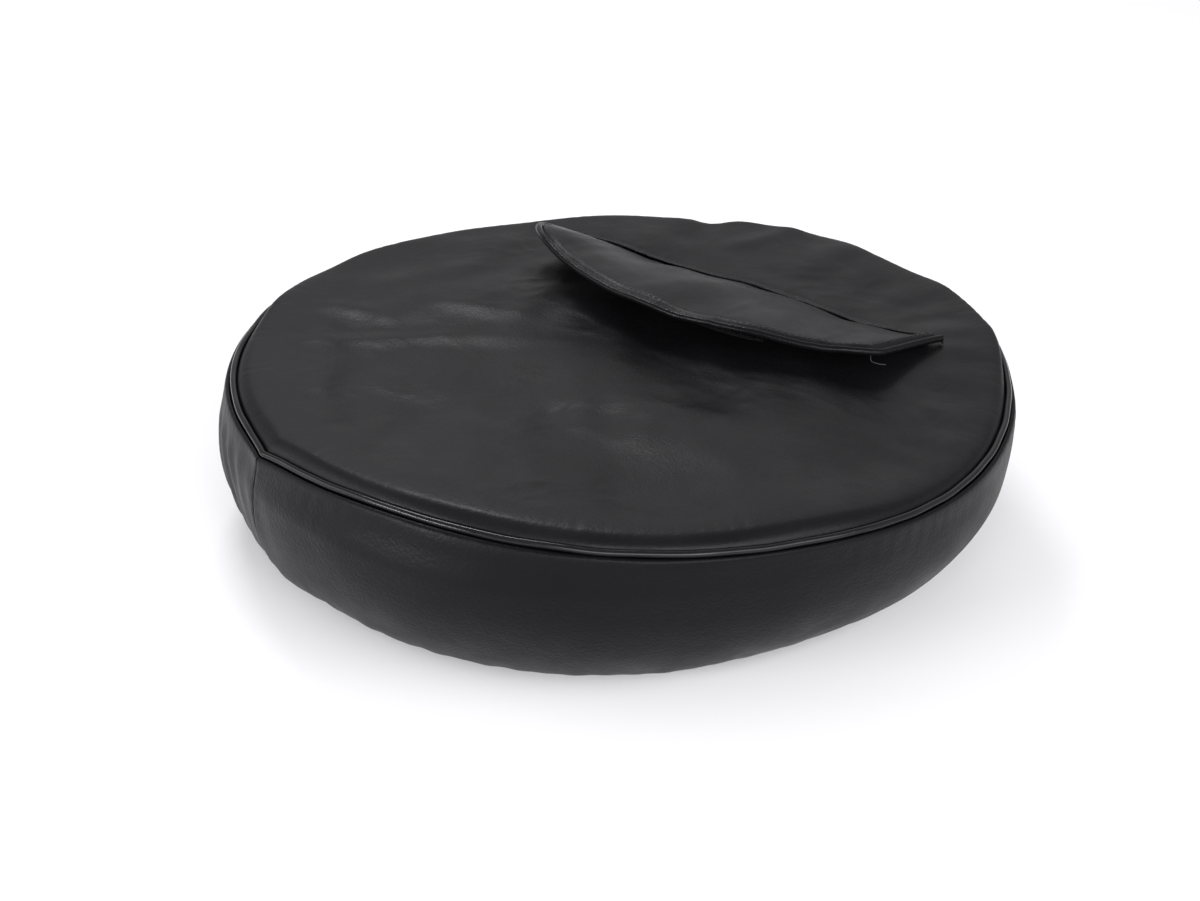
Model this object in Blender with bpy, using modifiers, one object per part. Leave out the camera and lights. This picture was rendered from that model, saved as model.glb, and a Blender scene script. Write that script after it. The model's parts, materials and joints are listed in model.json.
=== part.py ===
"""Spare tyre cover with a flap pocket, lying face up on its elasticated rear mouth.

Metres, +Z up. The origin is at the middle of the cover on the surface it lies on.
The flap's hinge line runs along X, and the flap reaches from it towards -Y.
"""
import math

import bmesh
import bpy
from mathutils import Vector

# ---------------------------------------------------------------- dimensions
STEPS = 48                     # facets round the cover
GAP = 0.0003                   # air left between sewn pieces

SHEET = 0.0012                 # leatherette
LINING = 0.0006                # pocket cloth
FACE_TOP = 0.105               # height of the flat face
FACE_FLAT_R = 0.190            # radius where the face starts to roll over
SEAM_LOW = 0.0905              # lower end of the allowances in the face seam

PIPE_RING_R = 0.2115           # radius of the piping ring round the face
PIPE_RING_Z = 0.1000
PIPE_R = 0.0020                # piping, outside
PIPE_WALL = 0.0005
PIPE_CORE_R = 0.0012
LIP_OFF = 0.0004               # piping lips' middle, off the seam plane

BAND_R = 0.2168                # widest mid-line radius of the side band
BAND_Z = 0.0646                # height of the widest place
BAND_FOOT_R = 0.1690           # where the band meets the ground
BAND_SEAM_ANGLE = math.radians(249.3)
BAND_SEAM_DEPTH = 0.009        # allowance turned inwards at the band's seam

HEM_R = 0.1485                 # elastic hem, centre of the casing
HEM_Z = 0.0046
HEM_BEAD = 0.0038              # casing mid-line radius
HEM_WALL = 0.0008
HEM_LIP_END = 0.1630
HEM_EDGE_Z = 0.0023            # height of the band's edge between the lips
ELASTIC_R = 0.0020
FERRULE_LENGTH = 0.014

SLIT_HALF = 0.119              # pocket mouth in the face
SLIT_FRONT_Y = 0.1126
HINGE_Y = 0.1210
HINGE_Z = FACE_TOP + 0.0018

FLAP_HALF = 0.1255              # piping centre line of the flap
FLAP_SIDE = 0.060              # length of the flap's short sides
FLAP_MIDDLE = 0.097            # depth of the flap at its middle
FLAP_CORNER = 0.016
FLAP_ROOT = 0.0020             # distance from the hinge line to the first solid
FLAP_SLOPE = 0.155             # rise of the resting flap
FLAP_CURL = 0.25               # extra rise at its -X end
FLAP_SHEET = 0.0010
FLAP_LINING = 0.0006
FLAP_OUTER_N = 0.00135         # middle of the outer sheet above the flap's mid-surface
FLAP_LINING_N = -0.00115
EDGE_INSET = 0.0025            # sheets stop short of the piping bead

TAPE_HALF = 0.050
TAPE_MIN = 0.042
TAPE_MAX = 0.062
TAPE_THICK = 0.0010

POCKET_HALF = 0.113
POCKET_LOW_Y = -0.014
POCKET_DEPTH = 0.012
POCKET_MARGIN = 0.009

# ---------------------------------------------------------------- scene set-up
for old in list(bpy.data.objects):
    bpy.data.objects.remove(old, do_unlink=True)


def new_collection(name):
    """A collection linked to the scene."""
    group = bpy.data.collections.new(name)
    bpy.context.scene.collection.children.link(group)
    return group


PARTS = new_collection("spare_tire_cover")
CUTTERS = new_collection("cutters")


def material(name, colour, roughness, metallic=0.0):
    """A Principled material."""
    mat = bpy.data.materials.new(name)
    mat.use_nodes = True
    shader = mat.node_tree.nodes["Principled BSDF"]
    shader.inputs["Base Color"].default_value = (*colour, 1.0)
    shader.inputs["Roughness"].default_value = roughness
    shader.inputs["Metallic"].default_value = metallic
    mat.diffuse_color = (*colour, 1.0)
    return mat


LEATHERETTE = material("black_leatherette", (0.022, 0.022, 0.024), 0.45)
FLAP_LEATHER = material("black_leatherette_flap", (0.024, 0.024, 0.026), 0.45)
PIPING = material("black_gloss_piping", (0.012, 0.012, 0.013), 0.22)
CORE = material("pale_piping_core", (0.55, 0.54, 0.50), 0.75)
CLOTH = material("black_pocket_cloth", (0.030, 0.030, 0.032), 0.90)
ELASTIC = material("black_elastic", (0.025, 0.025, 0.025), 0.85)
STEEL = material("plated_ferrule", (0.62, 0.62, 0.60), 0.35, 1.0)
HOOKS = material("black_hook_and_loop", (0.018, 0.018, 0.018), 0.95)
BOARD = material("grey_stiffener", (0.20, 0.20, 0.20), 0.80)
THREAD = material("black_thread", (0.035, 0.035, 0.037), 0.60)


def add_object(name, mesh, mat, origin=(0.0, 0.0, 0.0), parent=None, group=PARTS):
    """Link a mesh made in world coordinates, with its origin moved to `origin`."""
    origin = Vector(origin)
    for vertex in mesh.vertices:
        vertex.co -= origin
    obj = bpy.data.objects.new(name, mesh)
    group.objects.link(obj)
    if parent is None:
        obj.location = origin
    else:
        obj.parent = parent
        obj.location = origin - parent.location
    if mat is not None:
        mesh.materials.append(mat)
    return obj


def mesh_of(name, verts, edges, faces):
    """A mesh with consistently outward faces."""
    mesh = bpy.data.meshes.new(name)
    mesh.from_pydata([tuple(v) for v in verts], edges, faces)
    if faces:
        work = bmesh.new()
        work.from_mesh(mesh)
        bmesh.ops.recalc_face_normals(work, faces=work.faces)
        work.to_mesh(mesh)
        work.free()
    mesh.update()
    return mesh


# ---------------------------------------------------------------- profile helpers
def ribbon(mid, thick):
    """Outline of a sheet of even thickness that follows an open mid-line."""
    points = [Vector(p) for p in mid]
    left = []
    right = []
    for i, point in enumerate(points):
        before = (point - points[max(i - 1, 0)]).normalized()
        after = (points[min(i + 1, len(points) - 1)] - point).normalized()
        if i == 0:
            before = after
        if i == len(points) - 1:
            after = before
        first = Vector((-before.y, before.x))
        both = (first + Vector((-after.y, after.x))).normalized()
        reach = thick / 2 / max(0.5, both.dot(first))
        left.append(point + both * reach)
        right.append(point - both * reach)
    return left + right[::-1]


def arc(centre, radius, start, end, count):
    """Points of a circular arc; angles in degrees."""
    out = []
    for i in range(count + 1):
        angle = math.radians(start + (end - start) * i / count)
        out.append((centre[0] + radius * math.cos(angle), centre[1] + radius * math.sin(angle)))
    return out


def area(outline):
    """Signed area of a closed outline."""
    total = 0.0
    for i, a in enumerate(outline):
        b = outline[(i + 1) % len(outline)]
        total += a[0] * b[1] - b[0] * a[1]
    return total / 2


def lathe(name, outline, mat, closed=True):
    """Turn a profile (radius, height) about Z with the Screw modifier."""
    outline = [tuple(p) for p in outline]
    if area(outline) > 0:
        outline = outline[::-1]
    count = len(outline)
    edges = [(i, i + 1) for i in range(count - 1)]
    if closed:
        edges.append((count - 1, 0))
    mesh = mesh_of(name, [(r, 0.0, z) for r, z in outline], edges, [])
    obj = add_object(name, mesh, mat)
    screw = obj.modifiers.new("turn", "SCREW")
    screw.axis = "Z"
    screw.angle = math.tau
    screw.steps = STEPS
    screw.render_steps = STEPS
    screw.use_merge_vertices = True
    screw.merge_threshold = 0.00001
    screw.use_smooth_shade = True
    return obj


def keyhole(bead, wall, lip_off, lip_length):
    """Profile of a bead with two parallel lips; bead centre at 0, lips towards +x."""
    middle = bead - wall / 2
    turn = math.degrees(math.asin(lip_off / middle))
    mid = [(lip_length, lip_off)]
    mid += arc((0.0, 0.0), middle, turn, 360.0 - turn, 9)
    mid.append((lip_length, -lip_off))
    return ribbon(mid, wall)


def boolean(obj, cutter, operation):
    """Boolean modifier, exact solver."""
    mod = obj.modifiers.new(operation.lower(), "BOOLEAN")
    mod.operation = operation
    mod.solver = "EXACT"
    mod.object = cutter


def as_cutter(obj):
    """Keep a helper solid out of sight."""
    obj.hide_render = True
    obj.display_type = "WIRE"
    return obj


def cube(name, low, high, mat, group=PARTS):
    """A box between two corners."""
    work = bmesh.new()
    bmesh.ops.create_cube(work, size=1.0)
    low = Vector(low)
    high = Vector(high)
    size = high - low
    for vertex in work.verts:
        vertex.co = Vector(vertex.co[i] * size[i] for i in range(3)) + (low + high) / 2
    mesh = bpy.data.meshes.new(name)
    work.to_mesh(mesh)
    work.free()
    return add_object(name, mesh, mat, (low + high) / 2, group=group)


def loft(name, sections, mat, origin=(0.0, 0.0, 0.0), parent=None):
    """A closed body through equal closed sections, capped at both ends."""
    count = len(sections[0])
    verts = [p for section in sections for p in section]
    faces = []
    for i in range(len(sections) - 1):
        for j in range(count):
            k = (j + 1) % count
            faces.append((i * count + j, i * count + k, (i + 1) * count + k, (i + 1) * count + j))
    faces.append(tuple(range(count)))
    faces.append(tuple((len(sections) - 1) * count + j for j in range(count)))
    mesh = mesh_of(name, verts, [], faces)
    return add_object(name, mesh, mat, origin, parent)


def prism_x(name, outline, half, mat):
    """A strip with the outline (y, z), running along X from -half to +half."""
    sections = []
    for x in (-half, half):
        sections.append([(x, y, z) for y, z in outline])
    return loft(name, sections, mat)


# ---------------------------------------------------------------- face and its piping
face_bottom = FACE_TOP - SHEET
face_mid = [
    (0.0, FACE_TOP - SHEET / 2),
    (0.0600, FACE_TOP - SHEET / 2),
    (FACE_FLAT_R, FACE_TOP - SHEET / 2),
    (0.1970, 0.1040),
    (0.2035, 0.1026),
    (0.2076, 0.1000),
    (0.2090, 0.0972),
    (0.2099, 0.0945),
    (0.2099, SEAM_LOW),
]
face = lathe("face_panel", ribbon(face_mid, SHEET), LEATHERETTE, closed=False)
slit = as_cutter(cube(
    "slit_cutter",
    (-SLIT_HALF, SLIT_FRONT_Y, face_bottom - 0.004),
    (SLIT_HALF, HINGE_Y, FACE_TOP + 0.004),
    None,
    CUTTERS,
))
boolean(face, slit, "DIFFERENCE")

pipe_profile = []
for along, across in keyhole(PIPE_R, PIPE_WALL, LIP_OFF, PIPE_RING_Z - SEAM_LOW):
    pipe_profile.append((PIPE_RING_R + across, PIPE_RING_Z - along))
lathe("face_piping_cover", pipe_profile, PIPING)
core_profile = arc((PIPE_RING_R, PIPE_RING_Z), PIPE_CORE_R, 0.0, 315.0, 7)
lathe("face_piping_cord", core_profile, CORE)

# ---------------------------------------------------------------- side band
fold_r = PIPE_RING_R + LIP_OFF + PIPE_WALL / 2 + GAP + SHEET / 2
fold = SHEET / 2 + GAP / 2
band_mid = [
    (fold_r, SEAM_LOW),
    (fold_r, 0.0968),
    (fold_r + fold, 0.0968 + fold),
    (fold_r + 2 * fold, 0.0968),
    (0.2157, 0.0880),
    (0.2165, 0.0770),
    (BAND_R, BAND_Z),
]
foot_z = SHEET / 2
for step in range(1, 7):
    turn = math.radians(15.0 * step)
    radius = BAND_FOOT_R + (BAND_R - BAND_FOOT_R) * math.cos(turn)
    height = foot_z + (BAND_Z - foot_z) * (1.0 - math.sin(turn))
    band_mid.append((radius, height))
side_count = len(band_mid)
band_mid += [
    (BAND_FOOT_R - 0.0030, foot_z),
    (HEM_LIP_END + 0.0015, HEM_EDGE_Z),
    (HEM_R + 0.0060, HEM_EDGE_Z),
]
band = lathe("gusset_band", ribbon(band_mid, SHEET), LEATHERETTE)


def seam_plate():
    """Plate of the band's two end allowances, standing inwards at the seam."""
    outer = [Vector(p) for p in band_mid[4:side_count - 1]]
    inner = []
    for i, point in enumerate(outer):
        before = outer[max(i - 1, 0)]
        after = outer[min(i + 1, len(outer) - 1)]
        along = (after - before).normalized()
        inward = Vector((along.y, -along.x))
        inner.append(point + inward * BAND_SEAM_DEPTH)
    outline = outer + inner[::-1]
    radial = Vector((math.cos(BAND_SEAM_ANGLE), math.sin(BAND_SEAM_ANGLE), 0.0))
    across = Vector((-radial.y, radial.x, 0.0))
    sections = []
    for side in (-1, 1):
        shift = across * side * (SHEET + GAP / 2)
        sections.append([radial * r + shift + Vector((0.0, 0.0, z)) for r, z in outline])
    plate = loft("seam_plate", sections, None)
    PARTS.objects.unlink(plate)
    CUTTERS.objects.link(plate)
    return as_cutter(plate)


boolean(band, seam_plate(), "UNION")
seam_slab = as_cutter(cube(
    "seam_cutter",
    (0.148, -GAP / 2, -0.010),
    (0.230, GAP / 2, 0.110),
    None,
    CUTTERS,
))
seam_slab.location = (
    0.189 * math.cos(BAND_SEAM_ANGLE),
    0.189 * math.sin(BAND_SEAM_ANGLE),
    0.050,
)
seam_slab.rotation_euler = (0.0, 0.0, BAND_SEAM_ANGLE)
boolean(band, seam_slab, "DIFFERENCE")

# ---------------------------------------------------------------- elastic hem
lip_high = HEM_EDGE_Z + SHEET / 2 + GAP + HEM_WALL / 2
lip_low = HEM_EDGE_Z - SHEET / 2 - GAP - HEM_WALL / 2
turn_high = math.degrees(math.asin((lip_high - HEM_Z) / HEM_BEAD))
turn_low = math.degrees(math.asin((lip_low - HEM_Z) / HEM_BEAD))
hem_mid = [(HEM_LIP_END, lip_high)]
hem_mid += arc((HEM_R, HEM_Z), HEM_BEAD, turn_high, 360.0 + turn_low, 8)
hem_mid.append((HEM_LIP_END, lip_low))
lathe("rear_hem_casing", ribbon(hem_mid, HEM_WALL), LEATHERETTE)
lathe("rear_elastic_cord", arc((HEM_R, HEM_Z), ELASTIC_R, 0.0, 300.0, 5), ELASTIC)

# The ferrule sits on the middle of one facet of the cord.
ferrule_angle = math.radians(180.0 + 180.0 / STEPS)
ferrule_out = Vector((math.cos(ferrule_angle), math.sin(ferrule_angle), 0.0))
ferrule_along = Vector((-ferrule_out.y, ferrule_out.x, 0.0))
ferrule_r = HEM_R * math.cos(math.pi / STEPS)
ferrule_ring = ribbon(arc((0.0, 0.0), 0.0027, 20.0, 340.0, 10), 0.0006)
ferrule_sections = []
for end in (-FERRULE_LENGTH / 2, FERRULE_LENGTH / 2):
    section = []
    for a, b in ferrule_ring:
        spot = ferrule_out * (ferrule_r + a) + ferrule_along * end
        section.append(spot + Vector((0.0, 0.0, HEM_Z + b)))
    ferrule_sections.append(section)
loft("elastic_join_ferrule", ferrule_sections, STEEL)

# ---------------------------------------------------------------- pocket
front_top = face_bottom - GAP
cube(
    "pocket_front_sheet",
    (-POCKET_HALF, POCKET_LOW_Y - POCKET_MARGIN, front_top - LINING),
    (POCKET_HALF, SLIT_FRONT_Y - GAP, front_top),
    CLOTH,
)

binding_mid = [
    (SLIT_FRONT_Y - 0.0085, FACE_TOP + GAP + 0.00025),
    (SLIT_FRONT_Y + GAP + 0.00025, FACE_TOP + GAP + 0.00025),
    (SLIT_FRONT_Y + GAP + 0.00025, front_top - LINING - GAP - 0.00025),
    (SLIT_FRONT_Y - 0.0085, front_top - LINING - GAP - 0.00025),
]
prism_x("pocket_mouth_binding", ribbon(binding_mid, 0.0005), SLIT_HALF - 0.0015, LEATHERETTE)

root_mid = [
    (HINGE_Y + 0.0110, face_bottom - GAP - FLAP_SHEET / 2),
    (HINGE_Y - 0.0008, face_bottom - GAP - FLAP_SHEET / 2),
    (HINGE_Y - 0.0008, FACE_TOP + 0.0008),
]
prism_x("flap_root_margin", ribbon(root_mid, FLAP_SHEET), SLIT_HALF - 0.0010, FLAP_LEATHER)

rim_z = face_bottom - 3 * GAP - FLAP_SHEET - LINING / 2 - 0.0001


def rounded_rectangle(x_half, y_low, y_high, radius, z):
    """Loop of points round a rectangle with rounded corners."""
    loop = []
    corners = (
        (x_half - radius, y_high - radius, 0.0),
        (-x_half + radius, y_high - radius, 90.0),
        (-x_half + radius, y_low + radius, 180.0),
        (x_half - radius, y_low + radius, 270.0),
    )
    for cx, cy, start in corners:
        for px, py in arc((cx, cy), radius, start, start + 90.0, 3):
            loop.append((px, py, z))
    return loop


def pocket_back():
    """The bag of the pocket: a flanged tray of cloth."""
    top_y = HINGE_Y + 0.0006
    loops = [
        rounded_rectangle(POCKET_HALF + POCKET_MARGIN, POCKET_LOW_Y - POCKET_MARGIN,
                          top_y + POCKET_MARGIN, 0.012, rim_z),
        rounded_rectangle(POCKET_HALF, POCKET_LOW_Y, top_y, 0.010, rim_z),
        rounded_rectangle(POCKET_HALF - 0.004, POCKET_LOW_Y + 0.004, top_y - 0.002, 0.009,
                          rim_z - POCKET_DEPTH),
    ]
    count = len(loops[0])
    verts = [p for loop in loops for p in loop]
    faces = []
    for i in range(len(loops) - 1):
        for j in range(count):
            k = (j + 1) % count
            faces.append((i * count + j, i * count + k, (i + 1) * count + k, (i + 1) * count + j))
    faces.append(tuple(2 * count + j for j in range(count)))
    mesh = mesh_of("pocket_back_sheet", verts, [], faces)
    obj = add_object("pocket_back_sheet", mesh, CLOTH)
    solid = obj.modifiers.new("thickness", "SOLIDIFY")
    solid.thickness = LINING
    solid.offset = 0.0
    solid.use_even_offset = True
    return obj


pocket_back()

tape_z = FACE_TOP + GAP
cube(
    "pocket_loop_tape",
    (-TAPE_HALF, HINGE_Y - TAPE_MAX, tape_z),
    (TAPE_HALF, HINGE_Y - TAPE_MIN, tape_z + TAPE_THICK),
    HOOKS,
)

thread_r = 0.00025
thread_z = FACE_TOP + GAP + thread_r
prism_x(
    "hinge_topstitch_thread",
    arc((HINGE_Y + 0.0045, thread_z), thread_r, 0.0, 300.0, 5),
    SLIT_HALF,
    THREAD,
)

# ---------------------------------------------------------------- flap
hinge = bpy.data.objects.new("flap_hinge", None)
hinge.empty_display_size = 0.02
hinge.location = (0.0, HINGE_Y, HINGE_Z)
PARTS.objects.link(hinge)


def flap_rise(x):
    """Slope of the resting flap at a place along the hinge."""
    curl = min(1.0, max(0.0, -x / FLAP_HALF))
    return FLAP_SLOPE + FLAP_CURL * curl * curl


def flap_middle(x, s):
    """Mid-surface of the flap, a distance s from the hinge line."""
    rise = flap_rise(x)
    flat = 1.0 / math.sqrt(1.0 + rise * rise)
    return Vector((x, HINGE_Y - s * flat, HINGE_Z + s * rise * flat))


def flap_point(x, s, n):
    """A point n above the flap's mid-surface."""
    step = 0.0005
    across = flap_middle(x + step, s) - flap_middle(x - step, s)
    along = flap_middle(x, s + step) - flap_middle(x, s - step)
    normal = along.cross(across).normalized()
    return flap_middle(x, s) + normal * n


def flap_edge(x, inset):
    """Distance of the flap's free edge from the hinge line, drawn in by an inset."""
    fall = FLAP_MIDDLE - FLAP_SIDE
    lean = 2.0 * fall * abs(x) / FLAP_HALF ** 2
    edge = FLAP_MIDDLE - fall * (x / FLAP_HALF) ** 2 - inset * math.sqrt(1.0 + lean * lean)
    beyond = abs(x) - (FLAP_HALF - FLAP_CORNER)
    if beyond <= 0.0:
        return edge
    radius = FLAP_CORNER - inset
    corner = corner_start() + math.sqrt(max(0.0, radius * radius - beyond * beyond))
    return min(edge, corner)


def corner_start():
    """Where the rounded corner leaves the flap's short side."""
    fall = FLAP_MIDDLE - FLAP_SIDE
    lean = math.atan(2.0 * fall / FLAP_HALF)
    return FLAP_SIDE - FLAP_CORNER * math.tan((math.pi / 2 - lean) / 2)


def columns(half):
    """Places along the hinge line, closer together at the rounded corners."""
    out = []
    reach = half - FLAP_CORNER * 0.6
    for i in range(15):
        out.append(-reach + 2.0 * reach * i / 14)
    ends = [half, half - FLAP_CORNER * 0.07, half - FLAP_CORNER * 0.28]
    return [-x for x in ends] + out + ends[::-1]


def flap_sheet(name, inset, start, centre, thick, mat):
    """One sheet of the flap: a slab that follows the resting shape."""
    xs = columns(FLAP_HALF - inset)
    rows = 5
    sections = []
    for x in xs:
        end = flap_edge(x, inset)
        upper = []
        lower = []
        for j in range(rows + 1):
            s = start + (end - start) * j / rows
            upper.append(flap_point(x, s, centre + thick / 2))
            lower.append(flap_point(x, s, centre - thick / 2))
        sections.append(upper + lower[::-1])
    return loft(name, sections, mat, hinge.location, hinge)


flap_sheet("flap_outer_panel", EDGE_INSET, FLAP_ROOT, FLAP_OUTER_N, FLAP_SHEET, FLAP_LEATHER)
flap_sheet("flap_lining_panel", EDGE_INSET, FLAP_ROOT, FLAP_LINING_N, FLAP_LINING, CLOTH)
flap_sheet("flap_stiffener_sheet", 0.0125, 0.008, 0.0, 0.0008, BOARD)


def flap_path(inset, start):
    """Places (x, s) along the flap's sides and free edge, with the inward direction."""
    half = FLAP_HALF - inset
    radius = FLAP_CORNER - inset
    right = [(half, start + (corner_start() - start) * i / 3) for i in range(4)]
    fall = FLAP_MIDDLE - FLAP_SIDE
    lean = math.degrees(math.atan(2.0 * fall / FLAP_HALF))
    centre = (half - radius, corner_start())
    right += arc(centre, radius, 0.0, 90.0 - lean, 4)[1:]
    last = right[-1][0]
    for i in range(1, 10):
        x = last * (1.0 - i / 9.0)
        right.append((x, flap_edge(x, inset)))
    left = [(-x, s) for x, s in right[:-1]]
    points = [Vector(p) for p in right + left[::-1]]
    out = []
    for i, point in enumerate(points):
        before = points[max(i - 1, 0)]
        after = points[min(i + 1, len(points) - 1)]
        along = (after - before).normalized()
        out.append((point, Vector((-along.y, along.x)) * -1.0))
    return out


def flap_sweep(name, inset, start, profile, mat):
    """A profile (inward, up) carried round the flap's edge."""
    sections = []
    for point, outward in flap_path(inset, start):
        section = []
        for inward, up in profile:
            spot = point - outward * inward
            section.append(flap_point(spot.x, spot.y, up))
        sections.append(section)
    return loft(name, sections, mat, hinge.location, hinge)


flap_sweep("flap_piping_cover", 0.0, 0.0035, keyhole(PIPE_R, PIPE_WALL, LIP_OFF, 0.0090), PIPING)
flap_sweep("flap_piping_cord", 0.0, 0.0028, arc((0.0, 0.0), PIPE_CORE_R, 0.0, 300.0, 5), CORE)
thread_up = FLAP_OUTER_N + FLAP_SHEET / 2 + GAP + thread_r
flap_sweep(
    "flap_topstitch_thread",
    0.0065,
    0.0045,
    arc((0.0, thread_up), thread_r, 0.0, 270.0, 3),
    THREAD,
)


def hook_tape():
    """Hook tape under the flap, facing the loop tape on the face."""
    top = FLAP_LINING_N - FLAP_LINING / 2 - GAP
    sections = []
    for i in range(5):
        x = -TAPE_HALF + 2.0 * TAPE_HALF * i / 4
        section = []
        for s, n in (
            (TAPE_MIN, top),
            (TAPE_MAX, top),
            (TAPE_MAX, top - TAPE_THICK),
            (TAPE_MIN, top - TAPE_THICK),
        ):
            section.append(flap_point(x, s, n))
        sections.append(section)
    return loft("flap_hook_tape", sections, HOOKS, hinge.location, hinge)


hook_tape()
bpy.context.view_layer.update()
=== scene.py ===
import json
import math

import bmesh
import bpy
import numpy as np
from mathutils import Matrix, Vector


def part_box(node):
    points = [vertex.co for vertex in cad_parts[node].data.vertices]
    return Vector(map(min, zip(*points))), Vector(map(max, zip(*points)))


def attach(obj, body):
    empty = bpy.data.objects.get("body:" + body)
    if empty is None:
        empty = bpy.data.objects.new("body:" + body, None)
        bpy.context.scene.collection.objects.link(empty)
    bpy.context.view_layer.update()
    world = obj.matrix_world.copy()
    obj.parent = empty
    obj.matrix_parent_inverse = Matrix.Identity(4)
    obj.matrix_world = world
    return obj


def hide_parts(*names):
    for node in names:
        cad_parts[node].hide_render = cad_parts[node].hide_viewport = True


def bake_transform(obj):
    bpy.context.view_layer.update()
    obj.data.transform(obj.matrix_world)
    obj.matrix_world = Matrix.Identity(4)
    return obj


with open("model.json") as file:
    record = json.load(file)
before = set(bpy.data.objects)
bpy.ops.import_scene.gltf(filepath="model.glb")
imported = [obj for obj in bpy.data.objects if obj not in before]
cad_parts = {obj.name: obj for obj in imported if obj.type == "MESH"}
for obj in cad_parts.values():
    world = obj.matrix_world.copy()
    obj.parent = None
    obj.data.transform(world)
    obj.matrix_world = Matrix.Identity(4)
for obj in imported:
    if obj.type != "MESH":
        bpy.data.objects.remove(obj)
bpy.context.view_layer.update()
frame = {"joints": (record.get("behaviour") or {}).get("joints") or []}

# ---------------- sizes, from the frame
MM = 0.001
PIPE_R = 2.0 * MM
SHEET = 1.2 * MM          # leatherette
CLOTH_SHEET = 0.6 * MM    # pocket cloth
FACE_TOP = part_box("face_panel")[1].z
RING_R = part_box("face_piping_cover")[1].x - PIPE_R
RING_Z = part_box("face_piping_cover")[1].z - PIPE_R
BAND_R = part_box("gusset_band")[1].x - SHEET / 2
ELASTIC_R = 2.0 * MM
HEM_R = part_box("rear_elastic_cord")[1].x - ELASTIC_R
HEM_Z = (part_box("rear_elastic_cord")[0].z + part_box("rear_elastic_cord")[1].z) / 2
HEM_LIP_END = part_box("rear_hem_casing")[1].x
HINGE = Vector(frame["joints"][0]["pos_m"])
SLIT_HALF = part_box("flap_root_margin")[1].x + 1.0 * MM
SLIT_WIDTH = 4.5 * MM     # from the hinge line to the slit's near edge
FLAP_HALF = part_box("flap_piping_cover")[1].x - PIPE_R
FLAP_SIDE = 60.0 * MM     # length of the flap's short sides
FLAP_MIDDLE = 97.0 * MM   # depth of the flap at its middle
FLAP_CORNERS = {-1: 30.0 * MM, 1: 15.0 * MM}
FLAP_INSET = 1.9 * MM     # from the piping's centre line to the sheets' edge
SEAM = math.radians(249.3)
FOOT_R = 169.0 * MM       # where the band meets the ground
BAND_LEVEL = 0.0646       # height of the band's widest place
FINE_STITCH = (2.9 * MM, 0.8 * MM, 0.24 * MM)


def smooth(lo, hi, x):
    """Smooth step from 0 at lo to 1 at hi."""
    t = np.clip((np.asarray(x, float) - lo) / (hi - lo), 0.0, 1.0)
    return t * t * (3.0 - 2.0 * t)


def waves(seed, count, low, high, *coords):
    """Smooth random relief of about unit size, with wavelengths from low to high."""
    rng = np.random.default_rng(seed)
    total = np.zeros(np.shape(coords[0]))
    for _ in range(count):
        length = low * (high / low) ** rng.random()
        direction = rng.normal(size=len(coords))
        direction /= np.linalg.norm(direction)
        phase = rng.random() * math.tau
        arg = phase + sum(c * d for c, d in zip(coords, direction)) * math.tau / length
        total = total + np.cos(arg)
    return total * math.sqrt(2.0 / count)


def turned(angle, centre):
    """Angle from a centre, between -pi and pi."""
    return (angle - centre + math.pi) % math.tau - math.pi


# ---------------- the slump of the soft cover
# The empty cover leans back on its mouth and sits a little out of round. Lobes are a mean and
# then cosine and sine parts of 1, 2 and 3 lobes, in millimetres. Swells and touches are a
# direction in degrees, a spread in radians and a size; bumps have a height and a reach as well.
LEAN = (-29.7 * MM, 12.3 * MM)
RIM_LIFT = (-1.05, -2.32, -2.36, -1.83, -0.81, -2.03, -0.05)
RIM_DRIFT = (0.49, -0.38, 0.42, -0.96, -1.94, 0.08, -2.92)
BELLY = (-1.21, 1.71, -2.16, 2.37, -0.67, 1.62, 0.36)
RIM_SWELLS = ((275.0, 0.26, 2.4), (334.0, 0.30, 2.5))
RIM_TOUCHES = ((74.0, 0.14, -1.2), (47.0, 0.12, 1.8), (198.0, 0.10, 1.2),
               (184.0, 0.10, -1.0), (152.0, 0.16, -1.2), (112.0, 0.12, 1.6))
BUMPS = ((236.0, 0.16, 45.0, 26.0, -3.0), (255.0, 0.10, 18.0, 16.0, 4.4))
FOOT = (5.22, -0.31, 4.51, -0.53, 1.01, -4.17, -1.18)


def lobes(parts, angle):
    """A smooth function of the angle round the cover, in metres."""
    total = np.full(np.shape(angle), parts[0], float)
    for k in (1, 2, 3):
        total = total + parts[2 * k - 1] * np.cos(k * angle) + parts[2 * k] * np.sin(k * angle)
    return total * MM


FAR = math.radians(119.0)
TUCK = 5.0 * MM


def bell(angle, degrees, spread):
    """1 towards a direction, falling off smoothly over a spread in radians."""
    return np.exp(-(turned(angle, math.radians(degrees)) / spread) ** 2)


def far_side(angle):
    """1 along the far rim, where the face puffs over its piping, and 0 elsewhere."""
    return smooth(-0.12, 0.55, np.cos(angle - FAR))


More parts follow.
